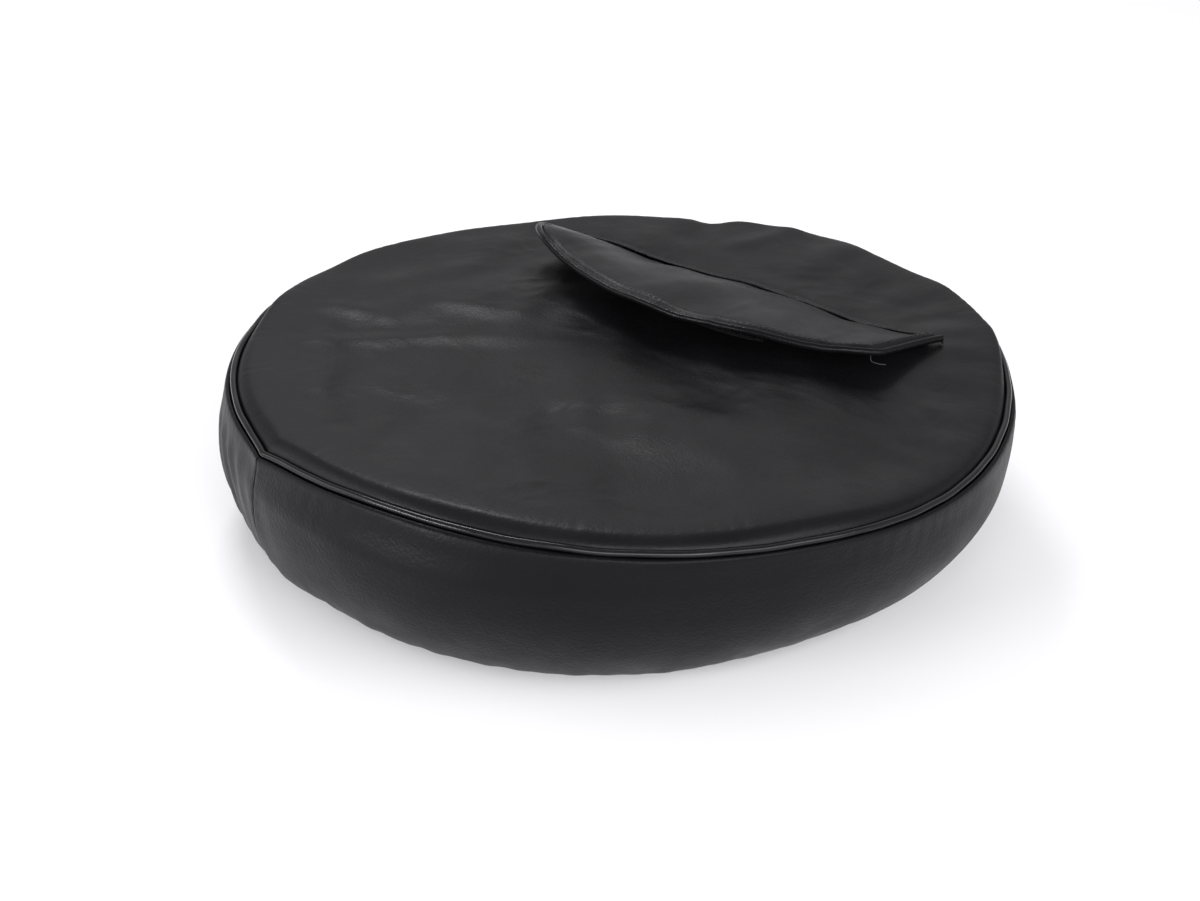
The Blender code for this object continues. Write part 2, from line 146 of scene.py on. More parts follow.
def slump(points):
    """Moves points of the tidy round cover to where the soft one lies."""
    p = np.array(points, float)
    x, y, z = p[..., 0], p[..., 1], p[..., 2]
    angle = np.arctan2(y, x)
    r = np.hypot(x, y)
    puff = far_side(angle)
    edge = smooth(0.196, 0.206, r)
    z = z - TUCK * puff * edge * smooth(0.072, 0.092, z) * (1.0 - smooth(0.0990, 0.1035, z))
    lip = np.exp(-((r - 0.205) / 0.008) ** 2) * smooth(0.0960, 0.1030, z) * (1.0 - smooth(0.112, 0.120, z))
    flank = smooth(0.70, 0.95, np.abs(turned(angle, FAR))) * (1.0 - smooth(1.45, 1.75, np.abs(turned(angle, FAR))))
    r = r + (3.0 + 3.4 * flank) * MM * puff * lip
    z = z + (1.7 + 0.8 * flank) * MM * puff * lip
    x, y = r * np.cos(angle), r * np.sin(angle)
    u = np.clip((RING_Z - z) / RING_Z, 0.0, 1.0)
    inward = np.clip(r / RING_R, 0.0, 1.0) ** 2.5
    rim = (1.0 - u) ** 2 * inward
    corner = np.exp(-np.abs(turned(angle, SEAM)) / 0.075) * inward * (1.0 - u) ** 3
    grow = lobes(RIM_DRIFT, angle) * rim + lobes(BELLY, angle) * np.sin(math.pi * u) * inward
    grow = grow + lobes(FOOT, angle) * u * u * inward + 4.0 * MM * corner
    lift = lobes(RIM_LIFT, angle) * rim - 0.8 * MM * corner
    for centre, spread, height in RIM_SWELLS:
        lift = lift + height * MM * bell(angle, centre, spread) * rim
    for centre, spread, size in RIM_TOUCHES:
        near = size * MM * bell(angle, centre, spread) * rim
        grow, lift = grow + near, lift + 0.8 * near
    bulge = 0.8 + 6.0 * bell(angle, 279.0, 0.42)
    down = np.clip(1.0 - p[..., 2] / BAND_LEVEL, 0.0, 1.0)
    plain = FOOT_R + (BAND_R - FOOT_R) * np.sqrt(1.0 - down ** 2)
    outer = smooth(-3.8 * MM, -1.8 * MM, np.hypot(p[..., 0], p[..., 1]) - plain)
    reach = np.where(p[..., 2] > 0.074, 0.0140, 0.046)
    grow = grow + bulge * MM * np.exp(-((p[..., 2] - 0.074) / reach) ** 2) * outer
    for centre, spread, level, tall, size in BUMPS:
        near = bell(angle, centre, spread) * np.exp(-((p[..., 2] - level * MM) / (tall * MM)) ** 2)
        grow = grow + size * MM * near * inward
    x = x + grow * np.cos(angle) + LEAN[0] * u
    y = y + grow * np.sin(angle) + LEAN[1] * u
    return np.stack([x, y, np.maximum(z + lift, 0.75 * MM)], -1)


def plain_grid(x_ends, y_ends, nx, ny):
    """Even grids of x and y."""
    return np.meshgrid(np.linspace(*x_ends, nx), np.linspace(*y_ends, ny), indexing="ij")


def around(r, angle, z):
    """Points at a radius, an angle and a height."""
    return np.stack(np.broadcast_arrays(r * np.cos(angle), r * np.sin(angle), z), -1)


# ---------------- mesh building
def make(name, verts, faces, mat):
    """A mesh object from arrays."""
    mesh = bpy.data.meshes.new(name)
    mesh.from_pydata(np.asarray(verts, float).tolist(), [], faces)
    mesh.validate()
    mesh.polygons.foreach_set("use_smooth", [True] * len(mesh.polygons))
    mesh.materials.append(mat)
    mesh.update()
    obj = bpy.data.objects.new(name, mesh)
    bpy.context.scene.collection.objects.link(obj)
    return obj


def fix_normals(obj):
    """Turns all faces outwards."""
    work = bmesh.new()
    work.from_mesh(obj.data)
    bmesh.ops.recalc_face_normals(work, faces=work.faces)
    work.to_mesh(obj.data)
    work.free()


def unit(v):
    """Vectors of length 1."""
    return v / np.linalg.norm(v, axis=-1, keepdims=True)


def grid_faces(nu, nv, wrap_u=False, wrap_v=False, base=0, flip=False):
    """Quads of a grid of nu by nv points."""
    faces = []
    for i in range(nu if wrap_u else nu - 1):
        a = base + i * nv
        b = base + ((i + 1) % nu) * nv
        for j in range(nv if wrap_v else nv - 1):
            k = (j + 1) % nv
            quad = (a + j, b + j, b + k, a + k)
            faces.append(quad[::-1] if flip else quad)
    return faces


def grid_normals(p):
    """Unit normals of a grid of points."""
    n = np.cross(np.gradient(p, axis=0), np.gradient(p, axis=1))
    size = np.linalg.norm(n, axis=-1, keepdims=True)
    return n / np.maximum(size, 1e-12)


def shell(name, top, bottom, mat, wrap_u=False):
    """A closed sheet between two grids of points with the same shape."""
    nu, nv = top.shape[:2]
    count = nu * nv
    faces = grid_faces(nu, nv, wrap_u) + grid_faces(nu, nv, wrap_u, base=count, flip=True)
    index = np.arange(count).reshape(nu, nv)
    around_u = np.concatenate([index, index[:1]]) if wrap_u else index
    rims = [(around_u[:, 0], False), (around_u[:, -1], True)]
    if not wrap_u:
        rims += [(index[0], True), (index[-1], False)]
    for ends, flip in rims:
        ends = ends.tolist()
        for a, b in zip(ends[:-1], ends[1:]):
            quad = (b, a, a + count, b + count)
            faces.append(quad[::-1] if flip else quad)
    obj = make(name, np.concatenate([top.reshape(-1, 3), bottom.reshape(-1, 3)]), faces, mat)
    fix_normals(obj)
    return obj


def sheet_of(name, mid, thick, mat):
    """A closed sheet of even thickness about a grid of points."""
    n = grid_normals(mid)
    return shell(name, mid + n * thick / 2, mid - n * thick / 2, mat)


def upward(count):
    """Straight up, once for each point of a path."""
    return np.tile((0.0, 0.0, 1.0), (count, 1))


def rings(path, side, up, size, sides):
    """Points of circles across a path."""
    turn = np.arange(sides) * math.tau / sides
    ring = side[:, None] * np.cos(turn)[None, :, None] + up[:, None] * np.sin(turn)[None, :, None]
    return (path[:, None] + ring * size[:, None, None]).reshape(-1, 3)


def ring_faces(count, sides, closed=False, base=0):
    """Quads between circles, with a cap at each end of an open path."""
    faces = grid_faces(count, sides, closed, True, base)
    if not closed:
        last = base + (count - 1) * sides
        faces += [tuple(range(base, base + sides))[::-1], tuple(range(last, last + sides))]
    return faces


def tube(name, path, radius, mat, closed=False, sides=12, ups=None, taper=1.0):
    """A round tube along a path, with closed ends."""
    ahead = unit(np.roll(path, -1, 0) - np.roll(path, 1, 0) if closed else np.gradient(path, axis=0))
    side = unit(np.cross(ahead, upward(len(path)) if ups is None else ups))
    size = radius * taper * np.ones(len(path))
    verts = rings(path, side, np.cross(side, ahead), size, sides)
    return make(name, verts, ring_faces(len(path), sides, closed), mat)


def distance(points):
    """Distance along a polyline at each of its points."""
    return np.concatenate([[0.0], np.cumsum(np.linalg.norm(np.diff(points, axis=0), axis=1))])


def sample(points, run, at):
    """Points of a polyline at given distances along it."""
    return np.stack([np.interp(at, run, column) for column in points.T], 1)


def resample(points, count):
    """Points at even spacing along a polyline."""
    points = np.asarray(points, float)
    run = distance(points)
    return sample(points, run, np.linspace(0.0, run[-1], count))


def curve_through(points, count):
    """A smooth curve through points (Catmull-Rom), evenly resampled."""
    p = np.asarray(points, float)
    p = np.concatenate([[2 * p[0] - p[1]], p, [2 * p[-1] - p[-2]]])
    out = []
    for i in range(1, len(p) - 2):
        for t in np.linspace(0.0, 1.0, 12, endpoint=False):
            a, b, c, d = p[i - 1], p[i], p[i + 1], p[i + 2]
            spot = 2 * b + (c - a) * t + (2 * a - 5 * b + 4 * c - d) * t * t
            out.append((spot + (3 * b - a - 3 * c + d) * t ** 3) / 2)
    out.append(p[-2])
    return resample(out, count)


def stitches(name, path, ups, length, gap, radius, mat):
    """A row of separate stitches that dive into the sheet at both ends."""
    run = distance(path)
    count = max(1, int(run[-1] / (length + gap)))
    pitch = run[-1] / count
    verts, faces = [], []
    sides, steps = 6, 7
    bow = np.sin(np.linspace(0.0, math.pi, steps))
    for n in range(count):
        at = n * pitch + gap / 2 + np.linspace(0.0, pitch - gap, steps)
        mid = sample(path, run, at)
        up = unit(sample(ups, run, at))
        side = unit(np.cross(unit(mid[-1] - mid[0]), up))
        mid = mid + up * ((bow - 0.75) * radius * 1.5)[:, None]
        verts.append(rings(mid, side, up, radius * (0.35 + 0.65 * bow), sides))
        faces += ring_faces(steps, sides, base=n * steps * sides)
    return make(name, np.concatenate(verts), faces, mat)


# ---------------- materials
class Paint:
    """A small helper that wires a Principled material."""

    def __init__(self, name):
        self.mat = bpy.data.materials.new(name)
        self.mat.use_nodes = True
        self.tree = self.mat.node_tree
        self.shader = self.tree.nodes["Principled BSDF"]
        self.where = self.node("ShaderNodeTexCoord").outputs["Object"]

    def node(self, kind, **values):
        made = self.tree.nodes.new(kind)
        for key, value in values.items():
            if key.startswith("in_"):
                made.inputs[key[3:].replace("_", " ")].default_value = value
            else:
                setattr(made, key, value)
        return made

    def link(self, a, b):
        self.tree.links.new(a, b)

    def noise(self, scale, detail, rough=0.5):
        made = self.node("ShaderNodeTexNoise", in_Scale=scale, in_Detail=detail, in_Roughness=rough)
        self.link(self.where, made.inputs["Vector"])
        return made.outputs["Fac"]

    def ramp(self, fac, stops):
        made = self.node("ShaderNodeValToRGB")
        while len(made.color_ramp.elements) < len(stops):
            made.color_ramp.elements.new(0.5)
        for element, (spot, colour) in zip(made.color_ramp.elements, stops):
            element.position = spot
            element.color = (*colour, 1.0) if len(colour) == 3 else (colour[0],) * 3 + (1.0,)
        self.link(fac, made.inputs["Fac"])
        return made.outputs["Color"]

    def bump(self, height, strength, distance, under=None):
        made = self.node("ShaderNodeBump", in_Strength=strength, in_Distance=distance)
        self.link(height, made.inputs["Height"])
        if under is not None:
            self.link(under, made.inputs["Normal"])
        return made.outputs["Normal"]

    def feed(self, name, output):
        self.link(output, self.shader.inputs[name])

    def blotch(self, name, scale, detail, low, high):
        """Feeds an input with soft noise between two values or colours."""
        self.feed(name, self.ramp(self.noise(scale, detail), [(0.3, low), (0.7, high)]))

    def put(self, **values):
        for key, value in values.items():
            self.shader.inputs[key.replace("_", " ")].default_value = value


def leatherette(name, dark, light, rough, relief, grain=1.0, ior=1.28):
    """Vinyl leather: pebble grain, fine pores, soft colour drift and a low uneven sheen."""
    paint = Paint(name)
    paint.feed("Base Color", paint.ramp(paint.noise(14.0, 4.0, 0.55), [(0.30, dark), (0.70, light)]))
    cloudy = paint.noise(26.0, 6.0, 0.62)
    paint.feed("Roughness", paint.ramp(cloudy, [(0.30, (rough - 0.06,)), (0.72, (rough + 0.10,))]))
    warp = paint.node("ShaderNodeTexNoise", in_Scale=420.0, in_Detail=2.0)
    paint.link(paint.where, warp.inputs["Vector"])
    mixed = paint.node("ShaderNodeVectorMath", operation="MULTIPLY_ADD")
    paint.link(warp.outputs["Color"], mixed.inputs[0])
    mixed.inputs[1].default_value = (0.0011, 0.0011, 0.0011)
    paint.link(paint.where, mixed.inputs[2])
    pebble = paint.node("ShaderNodeTexVoronoi", in_Scale=640.0 / grain, feature="SMOOTH_F1")
    paint.link(mixed.outputs[0], pebble.inputs["Vector"])
    cells = paint.ramp(pebble.outputs["Distance"], [(0.0, (1.0,)), (0.75, (0.0,))])
    normal = paint.bump(cells, 0.55 * relief, 0.16 * MM)
    normal = paint.bump(paint.noise(1900.0 / grain, 3.0), 0.35 * relief, 0.07 * MM, normal)
    paint.feed("Normal", paint.bump(paint.noise(110.0, 5.0, 0.6), 0.32, 0.5 * MM, normal))
    paint.put(IOR=ior)
    return paint.mat


def glossy_piping(name):
    """Smooth vinyl skin, with faint ribs where the cord inside twists."""
    paint = Paint(name)
    paint.blotch("Base Color", 60.0, 3.0, (0.004, 0.004, 0.0045), (0.007, 0.007, 0.0075))
    paint.blotch("Roughness", 240.0, 4.0, (0.13,), (0.22,))
    paint.feed("Normal", paint.bump(paint.noise(520.0, 3.0), 0.18, 0.08 * MM))
    paint.put(IOR=1.31)
    return paint.mat


def woven(name, colour, scale, rough=0.9):
    """Plain cloth: two crossed sets of threads."""
    paint = Paint(name)
    threads = []
    for direction in ("X", "Y"):
        wave = paint.node("ShaderNodeTexWave", in_Scale=scale, in_Distortion=0.6, bands_direction=direction)
        paint.link(paint.where, wave.inputs["Vector"])
        threads.append(wave.outputs["Fac"])
    both = paint.node("ShaderNodeMath", operation="MULTIPLY")
    for output, socket in zip(threads, both.inputs):
        paint.link(output, socket)
    height = both.outputs[0]
    paint.feed("Base Color", paint.ramp(height, [(0.0, tuple(c * 0.6 for c in colour)), (1.0, colour)]))
    paint.blotch("Roughness", 90.0, 3.0, (rough - 0.08,), (min(1.0, rough + 0.06),))
    paint.feed("Normal", paint.bump(height, 0.5, 0.15 * MM))
    paint.put(Sheen_Weight=0.15, Sheen_Roughness=0.5)
    return paint.mat


def twisted(name, colour):
    """Sewing thread."""
    paint = Paint(name)
    paint.blotch("Base Color", 900.0, 3.0, tuple(c * 0.7 for c in colour), colour)
    paint.feed("Normal", paint.bump(paint.noise(3000.0, 2.0), 0.5, 0.1 * MM))
    paint.blotch("Roughness", 1200.0, 2.0, (0.42,), (0.62,))
    return paint.mat


def plated(name):
    """Plated steel with fine draw marks."""
    paint = Paint(name)
    paint.blotch("Base Color", 400.0, 4.0, (0.50, 0.50, 0.49), (0.66, 0.66, 0.64))
    paint.blotch("Roughness", 700.0, 4.0, (0.25,), (0.45,))
    paint.feed("Normal", paint.bump(paint.noise(1500.0, 2.0), 0.3, 0.05 * MM))
    paint.put(Metallic=1.0)
    return paint.mat


def fuzzy(name, colour, scale):
    """Hook or loop pile."""
    paint = Paint(name)
    dots = paint.node("ShaderNodeTexVoronoi", in_Scale=scale)
    paint.link(paint.where, dots.inputs["Vector"])
    tint = paint.ramp(dots.outputs["Distance"], [(0.1, colour), (0.7, tuple(c * 0.3 for c in colour))])
    paint.feed("Base Color", tint)
    paint.feed("Normal", paint.bump(dots.outputs["Distance"], 0.9, 0.5 * MM))
    paint.blotch("Roughness", 500.0, 3.0, (0.8,), (1.0,))
    paint.put(IOR=1.2)
    return paint.mat


# Each leatherette has a dark and a light colour, a roughness, a depth of grain and an index of refraction.
FACE_SKIN = leatherette("face_leatherette", (0.0036, 0.0036, 0.0041), (0.0056, 0.0056, 0.0064), 0.38, 0.7, ior=1.23)
# Painted shade: the band is the face's black leatherette with darker colours (and a lower index of refraction), so the
# upright band reads darker as the light falls on it.
BAND_SKIN_PAINTED_DARKER = leatherette("band_leatherette_painted_darker", (0.0022, 0.0022, 0.0026), (0.0034, 0.0034, 0.0040), 0.41, 1.4, ior=1.19)
# Painted light: the flap and the slit's binding use the face's black leatherette with lighter colours (and a higher
# index of refraction), so the raised flap reads lighter as the light falls on it.
FLAP_SKIN_PAINTED_LIGHTER = leatherette("flap_leatherette_painted_lighter", (0.0040, 0.0040, 0.0046), (0.0060, 0.0060, 0.0068), 0.38, 0.7, ior=1.25)
PIPING = glossy_piping("piping_skin")
# Painted shade: the flap's piping bead has darker colours than the face's piping, for the dark look of its shaded
# crevice and underside.
BEAD_SKIN_PAINTED_DARKER = leatherette("flap_bead_leatherette_painted_darker", (0.0028, 0.0028, 0.0032), (0.0040, 0.0040, 0.0045), 0.27, 0.8,
                        grain=0.7, ior=1.20)
CLOTH = woven("pocket_cloth", (0.035, 0.035, 0.037), 1100.0)
ELASTIC = woven("elastic_braid", (0.045, 0.045, 0.045), 900.0, 0.8)
THREAD = twisted("sewing_thread", (0.016, 0.016, 0.018))
CORE = woven("piping_core", (0.62, 0.60, 0.55), 1500.0, 0.8)
STEEL = plated("plated_ferrule")
PILE = fuzzy("loop_pile", (0.010, 0.010, 0.011), 1400.0)
HOOKS = fuzzy("hook_pile", (0.012, 0.012, 0.013), 900.0)
BOARD = woven("stiffener_board", (0.22, 0.22, 0.22), 1600.0, 0.8)


def on(obj, body, slot, *nodes):
    """Rides on a body and stands for CAD nodes; the slot is not used."""
    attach(obj, body)
    if nodes:
        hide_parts(*nodes)


# ---------------- relief of the face
def crease(x, y, start, end, bend, width, height):
    """A soft ridge along a bent line, fading at both ends."""
    a, b = np.array(start), np.array(end)
    length = np.linalg.norm(b - a)
    along = (b - a) / length
    side = np.array((-along[1], along[0]))
    u = ((x - a[0]) * along[0] + (y - a[1]) * along[1]) / length
    v = (x - a[0]) * side[0] + (y - a[1]) * side[1]
    v = v - bend * 4.0 * u * (1.0 - u)
    fade = smooth(-0.15, 0.25, u) * (1.0 - smooth(0.75, 1.15, u))
    return height * fade * np.exp(-(v / width) ** 2)


CREASES = (
    # start, end, bend, width, height (millimetres)
    ((-150, -100), (-40, -14), 5, 9, 1.1),
    ((-128, -18), (-66, 6), -4, 8, 0.7),
    ((-196, -40), (-138, 70), -10, 15, 1.1),
    ((-176, -62), (-120, -50), 6, 8, 0.7),
    ((-120, 55), (-60, 96), 6, 15, 0.55),
    ((-30, 215), (-46, 158), 3, 8, 0.9),
    ((-78, 200), (-70, 150), -3, 11, -1.2),
    ((10, 205), (4, 150), 4, 12, 1.0),
    ((-88, 90), (-20, 40), 8, 12, -0.8),
    ((-10, -80), (70, -50), 10, 16, 0.6),
    ((110, 20), (170, 60), -6, 14, 0.5),
)


def crumple(x, y):
    """Fine soft creases: ridged waves bent by slower ones."""
    bent = x + 6.0 * MM * waves(15, 8, 0.05, 0.12, x, y)
    total = 0.0
    for k in range(5):
        ridge = waves(16 + k, 5, 0.020 + 0.004 * k, 0.045 + 0.006 * k, bent, y)
        total = total + (1.0 - np.abs(ridge)).clip(-0.4, 1.0)
    return total / 5.0 * 2.0


def face_relief(x, y):
    """Height of the face above its flat shape."""
    r = np.hypot(x, y)
    angle = np.arctan2(y, x)
    calm = 1.0 - smooth(0.165, 0.200, r)
    out = waves(11, 12, 0.080, 0.180, x, y) * 1.05 * MM * (0.3 + 0.7 * calm)
    patch = 0.35 + 0.65 * smooth(-0.6, 1.1, waves(14, 10, 0.09, 0.20, x, y))
    out = out + waves(12, 20, 0.030, 0.070, x + 0.4 * y, y) * 0.44 * MM * calm * patch
    out = out + crumple(x, y) * 0.27 * MM * calm * patch
    for start, end, bend, width, height in CREASES:
        start, end = ([c * MM for c in spot] for spot in (start, end))
        out = out + crease(x, y, start, end, bend * MM, width * MM, 1.5 * height * MM)
    sag = np.exp(-((y - HINGE.y) / 0.040) ** 2) * np.clip(1.0 - (x / SLIT_HALF) ** 2, 0.0, 1.0)
    out = out - 3.6 * MM * sag
    across, behind = x * 0.784 + y * 0.621, y * 0.784 - x * 0.621
    out = out + 4.4 * MM * np.exp(-((across + 0.068) / 0.055) ** 2 - ((behind - 0.070) / 0.038) ** 2)
    near_rim = smooth(0.1, 0.8, np.cos(angle - math.radians(292.0)))
    out = out + 2.1 * MM * near_rim * np.exp(-((r - 0.192) / 0.032) ** 2)
    right = smooth(0.2, 0.9, np.cos(angle - math.radians(42.0)))
    rays = np.cos(37.0 * angle + 1.3 * np.sin(7.0 * angle))
    out = out + rays * 0.40 * MM * right * smooth(0.156, 0.182, r) * (1.0 - 0.8 * smooth(0.190, 0.202, r))
    arc_x, arc_y = 0.2 * np.cos(angle), 0.2 * np.sin(angle)
    strength = 0.25 + 0.75 * smooth(-0.8, 1.2, waves(18, 9, 0.03, 0.09, arc_x, arc_y))
    pucker = waves(17, 22, 0.0045, 0.012, arc_x, arc_y) * strength
    out = out + pucker * 0.050 * MM * smooth(0.187, 0.199, r) * (1.0 - smooth(0.205, 0.210, r))
    return out


# ---------------- face
def disc_points(count):
    """A square grid wrapped onto a unit disc."""
    a, b = plain_grid((-1, 1), (-1, 1), count + 1, count + 1)
    r = np.where(np.abs(a) > np.abs(b), a, b)
    with np.errstate(divide="ignore", invalid="ignore"):
        wide = (math.pi / 4) * np.where(a == 0, 0.0, b / np.where(a == 0, 1.0, a))
        tall = math.pi / 2 - (math.pi / 4) * np.where(b == 0, 0.0, a / np.where(b == 0, 1.0, b))
    phi = np.where(np.abs(a) > np.abs(b), wide, tall)
    return r * np.cos(phi), r * np.sin(phi)


# Radius in metres and drop in millimetres down the face's rolled edge, at the far and the near side.
FLAT_R = 0.182
SOFT_ROLL = ((FLAT_R, 0.0), (0.1880, 0.1), (0.1945, -0.1), (0.2000, -0.9),
             (0.2046, -2.3), (0.2079, -4.3), (0.2092, -7.2), (0.2095, -12.5))
TIGHT_ROLL = ((FLAT_R, 0.0), (0.1910, 0.1), (0.2003, 0.0), (0.2045, -0.5),
              (0.2072, -1.6), (0.2087, -3.5), (0.2093, -6.6), (0.2095, -12.5))


def profile_normals(profile):
    """Unit normals of a profile of (radius, height) points."""
    tangent = unit(np.gradient(profile, axis=0))
    return np.stack([-tangent[:, 1], tangent[:, 0]], 1)


def build_face():
    """The round face: a sheet that rolls over at its rim, cut by the pocket's slit."""
    count, rows = 220, 30
    dx, dy = disc_points(count)
    index = np.arange((count + 1) ** 2).reshape(count + 1, count + 1)
    corners = index[:-1, :-1], index[1:, :-1], index[1:, 1:], index[:-1, 1:]
    top_faces = np.stack([c.ravel() for c in corners], 1).tolist()
    edge = list(index[:-1, 0]) + list(index[-1, :-1]) + list(index[::-1, -1][:-1]) + list(index[0, ::-1][:-1])
    edge_angle = np.arctan2(dy.ravel()[edge], dx.ravel()[edge])
    middle = FACE_TOP - SHEET / 2
    profiles = []
    for points in (SOFT_ROLL, TIGHT_ROLL):
        profile = curve_through([(r, middle + drop * MM) for r, drop in points], rows)
        normal = profile_normals(profile)
        normal[0] = (0.0, 1.0)
        profiles.append((profile, normal))
    soft = (0.25 + 0.75 * far_side(edge_angle))[:, None]
    inner = np.stack([dx.ravel() * FLAT_R, dy.ravel() * FLAT_R, np.full(dx.size, middle)], 1)
    tops = [inner + (0, 0, SHEET / 2)]
    bottoms = [inner - (0, 0, SHEET / 2)]
    for row in range(1, rows):
        for store, side in ((tops, 0.5), (bottoms, -0.5)):
            loose, firm = (profile[row] + normal[row] * SHEET * side for profile, normal in profiles)
            rz = loose * soft + firm * (1.0 - soft)
            store.append(around(rz[:, 0], edge_angle, rz[:, 1]))
    loops = [np.array(edge)]
    loops += [len(inner) + row * len(edge) + np.arange(len(edge)) for row in range(rows - 1)]
    for a, b in zip(loops[:-1], loops[1:]):
        top_faces += np.stack([a, b, np.roll(b, -1), np.roll(a, -1)], 1).tolist()
    total = sum(len(t) for t in tops)
    last, after = loops[-1], np.roll(loops[-1], -1)
    all_faces = top_faces + [[v + total for v in face[::-1]] for face in top_faces]
    all_faces += np.stack([last, last + total, after + total, after], 1).tolist()
    obj = make("face_panel_skin", np.concatenate(tops + bottoms), all_faces, FACE_SKIN)
    fix_normals(obj)
    cut_slit(obj)
    shape(obj, soften_face)
    on(obj, "cover", "black_leatherette", "face_panel")


def soften_face(p):
    """Gives the flat face its relief, then the cover's slump."""
    lift = rim_fade(p) * face_relief(p[:, 0], p[:, 1]) + lip_relief(p)
    return slump(p + lift[:, None] * (0.0, 0.0, 1.0))


def rim_fade(p):
    """Relief dies out down the rolled rim, where the seam holds the sheet."""
    return 1.0 - 0.8 * smooth(0.202, 0.210, np.hypot(p[:, 0], p[:, 1]))


def lip_relief(p):
    """The slit's sewn lips: a small roll on the far lip and a dip along its stitches."""
    x, y = p[..., 0], p[..., 1]
    across = 1.0 - smooth(SLIT_HALF - 0.004, SLIT_HALF + 0.006, np.abs(x))
    behind = y - HINGE.y
    roll = 0.75 * MM * np.exp(-((behind - 1.0 * MM) / (1.9 * MM)) ** 2)
    dip = -0.35 * MM * np.exp(-((behind - 4.5 * MM) / (1.2 * MM)) ** 2)
    return across * np.where(behind > -0.5 * MM, roll + dip, 0.0)


def cut_slit(obj):
    """Cuts the pocket's mouth through the face."""
    corners = [(x, y, z) for x in (-SLIT_HALF, SLIT_HALF) for y in (HINGE.y - SLIT_WIDTH, HINGE.y)
               for z in (FACE_TOP - 6 * MM, FACE_TOP + 6 * MM)]
    faces = [(0, 1, 3, 2), (4, 6, 7, 5), (0, 4, 5, 1), (2, 3, 7, 6), (0, 2, 6, 4), (1, 5, 7, 3)]
    cutter = make("slit_cutter", corners, faces, FACE_SKIN)
    mod = obj.modifiers.new("slit", "BOOLEAN")
    mod.operation = "DIFFERENCE"
    mod.solver = "EXACT"
    mod.object = cutter
    apply_all(obj)
    bpy.data.objects.remove(cutter, do_unlink=True)


def apply_all(obj):
    """Bakes an object's modifiers into its mesh."""
    bpy.context.view_layer.update()
    graph = bpy.context.evaluated_depsgraph_get()
    mesh = bpy.data.meshes.new_from_object(obj.evaluated_get(graph))
    obj.modifiers.clear()
    old = obj.data
    obj.data = mesh
    mesh.name = old.name
    bpy.data.meshes.remove(old)
    mesh.polygons.foreach_set("use_smooth", [True] * len(mesh.polygons))


def shape(obj, move):
    """Moves all of a mesh's points with a function of an array of points."""
    count = len(obj.data.vertices)
    co = np.empty(count * 3)
    obj.data.vertices.foreach_get("co", co)
    obj.data.vertices.foreach_set("co", move(co.reshape(-1, 3)).ravel())
    obj.data.update()


build_face()

# ---------------- piping round the face
ring_angle = np.linspace(0.0, math.tau, 721)[:-1]
wobble = [0.12 * MM * waves(seed, 9, 0.10, 0.6, np.cos(ring_angle), np.sin(ring_angle)) for seed in (1, 2)]
piping_path = slump(around(RING_R + wobble[0], ring_angle, RING_Z + wobble[1]))
piping = tube("face_piping_skin", piping_path, 0.92 * PIPE_R, PIPING, closed=True, sides=16)
on(piping, "cover", "black_gloss_piping", "face_piping_cover", "face_piping_cord")

# ---------------- side band
band_points = [(0.2129, 0.0925), (0.2132, 0.0960), (0.2140, 0.0981), (0.2153, 0.0974), (0.2162, 0.0935),
               (0.2165, 0.0865), (0.2168, 0.0760), (BAND_R, BAND_LEVEL)]
for k in range(1, 13):
    t = math.radians(7.5 * k)
    band_points.append((FOOT_R + (BAND_R - FOOT_R) * math.cos(t),
                        SHEET / 2 + (BAND_LEVEL - SHEET / 2) * (1 - math.sin(t))))
band_points += [(FOOT_R - 3 * MM, SHEET / 2 + 0.3 * MM), (HEM_LIP_END + 0.5 * MM, 2.3 * MM), (HEM_R + 6 * MM, 2.3 * MM)]
band_profile = np.concatenate([curve_through(band_points[:6], 22)[:-1], curve_through(band_points[5:], 84)])
band_run = distance(band_profile)


def pleats(angle):
    """The uneven folds that the elastic draws up, from about -1.5 to 1.5."""
    a = np.cos(58 * angle + 1.7 * np.sin(3 * angle)) * (0.6 + 0.4 * np.cos(5 * angle + 0.7))
    return a + 0.5 * np.cos(91 * angle + 2.1 * np.sin(4 * angle + 1.0))


def gather(angle):
    """Lift of the gathered hem above the ground, in metres; never below zero."""
    return np.clip(pleats(angle) + 1.1, 0.0, 2.6) * 0.75 * MM


def band_relief(angle, run):
    """Height of the band's skin over its plain shape; angle and distance down the band."""
    total = band_run[-1]
    arc_x, arc_y = np.cos(angle) * 0.215, np.sin(angle) * 0.215
    out = waves(21, 12, 0.09, 0.22, arc_x, arc_y, run) * 0.60 * MM
    out = out + waves(22, 14, 0.03, 0.07, arc_x, arc_y, run * 0.6) * 0.16 * MM
    lower = smooth(0.065, 0.125, run)
    out = out + pleats(angle) * 1.05 * MM * lower * (1.0 - 0.6 * smooth(0.150, total, run))
    near = np.exp(-((run - 0.014) / 0.010) ** 2)
    tight = np.cos(132 * angle + 3.0 * np.sin(6 * angle)) * (0.5 + 0.5 * np.cos(9 * angle + 2.0))
    out = out + tight * 0.10 * MM * near
    away = turned(angle, SEAM)
    slack = np.exp(-((away + 0.30) / 0.24) ** 2)
    folded = np.cos((away * 0.215 + 0.006 * np.sin(run * 70)) * math.tau / 0.021)
    out = out + folded * slack * 0.95 * MM * smooth(0.010, 0.030, run) * (1 - smooth(0.11, 0.14, run))
    pinch = -0.55 * MM * np.exp(-(np.abs(away) * 0.215 / (1.3 * MM)) ** 1.3)
    ticks = 0.08 * MM * np.cos(run * math.tau / 0.009) * np.exp(-(away * 0.215 / (6.0 * MM)) ** 2)
    out = out + (pinch + ticks) * smooth(0.006, 0.012, run) * (1 - smooth(total - 0.02, total, run))
    return out * smooth(0.004, 0.012, run)


